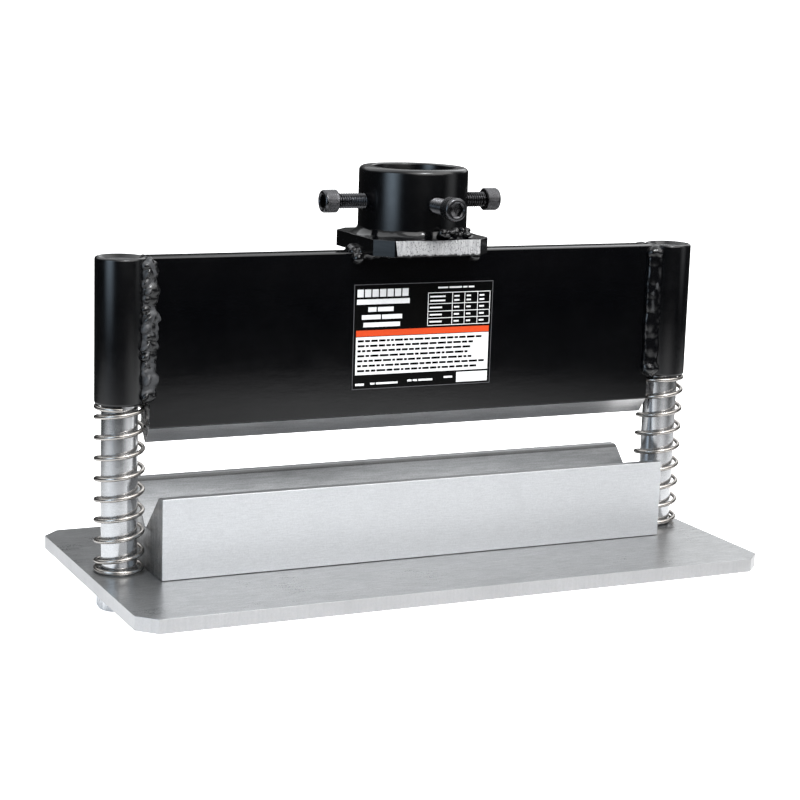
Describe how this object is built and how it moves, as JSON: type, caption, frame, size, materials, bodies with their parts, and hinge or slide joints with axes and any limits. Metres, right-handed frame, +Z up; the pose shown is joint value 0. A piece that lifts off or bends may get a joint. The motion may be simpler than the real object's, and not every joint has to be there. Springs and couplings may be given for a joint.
{
  "type": "sheet metal brake",
  "caption": "Press brake attachment: a spring-loaded bending blade slides on guide posts over a V die, with a clamp collar for a shop press ram.",
  "frame": {"origin": "on the ground under the middle of the base plate, level with the bottoms of the post nuts", "axes": "+X along the bend, -Y towards the label side, +Z up along the guide posts"},
  "size_m": [0.418, 0.208, 0.2653],
  "materials": {
    "black_paint": "gloss black enamel over rough welds",
    "ground_steel": "ground mild steel plate, light oil",
    "die_steel": "milled and ground steel",
    "post_steel": "turned and polished bar",
    "spring_steel": "bright drawn spring wire",
    "zinc_steel": "bright zinc plate",
    "black_oxide": "black oxide, lightly oiled",
    "label_print": "printed film, plain bars and panels with no lettering"
  },
  "bodies": {
    "base": {"base_plate": "ground_steel", "v_die": "die_steel", "die_screw_1": "black_oxide", "die_screw_2": "black_oxide", "die_screw_3": "black_oxide", "die_screw_4": "black_oxide", "guide_post_left": "post_steel", "guide_post_right": "post_steel", "post_nut_left": "zinc_steel", "post_nut_right": "zinc_steel", "return_spring_left": "spring_steel", "return_spring_right": "spring_steel"},
    "beam": {"press_blade": "black_paint", "guide_tube_left": "black_paint", "guide_tube_right": "black_paint", "tube_weld_left_front": "black_paint", "tube_weld_left_back": "black_paint", "tube_weld_right_front": "black_paint", "tube_weld_right_back": "black_paint", "collar_flange": "black_paint", "flange_weld_front": "black_paint", "flange_weld_back": "black_paint", "ram_collar": "black_paint", "collar_weld": "black_paint", "label_plate": "label_print"},
    "clamp_left": {"clamp_screw_left": "black_oxide"},
    "clamp_right": {"clamp_screw_right": "black_oxide"},
    "clamp_front": {"clamp_screw_front": "black_oxide"},
    "clamp_back": {"clamp_screw_back": "black_oxide"}
  },
  "joints": [
    {"name": "beam_slide", "type": "slide", "parent": "base", "child": "beam", "axis": [0, 0, 1], "range_m": [-0.0515, 0], "stiffness_N_per_m": 7900, "springref_m": 0.00785, "deforming": ["return_spring_left", "return_spring_right"]},
    {"name": "clamp_left_travel", "type": "slide", "parent": "beam", "child": "clamp_left", "axis": [-1, 0, 0], "range_m": [-0.015, 0.004]},
    {"name": "clamp_right_travel", "type": "slide", "parent": "beam", "child": "clamp_right", "axis": [1, 0, 0], "range_m": [-0.015, 0.004]},
    {"name": "clamp_front_travel", "type": "slide", "parent": "beam", "child": "clamp_front", "axis": [0, -1, 0], "range_m": [-0.015, 0.004]},
    {"name": "clamp_back_travel", "type": "slide", "parent": "beam", "child": "clamp_back", "axis": [0, 1, 0], "range_m": [-0.015, 0.004]}
  ]
}
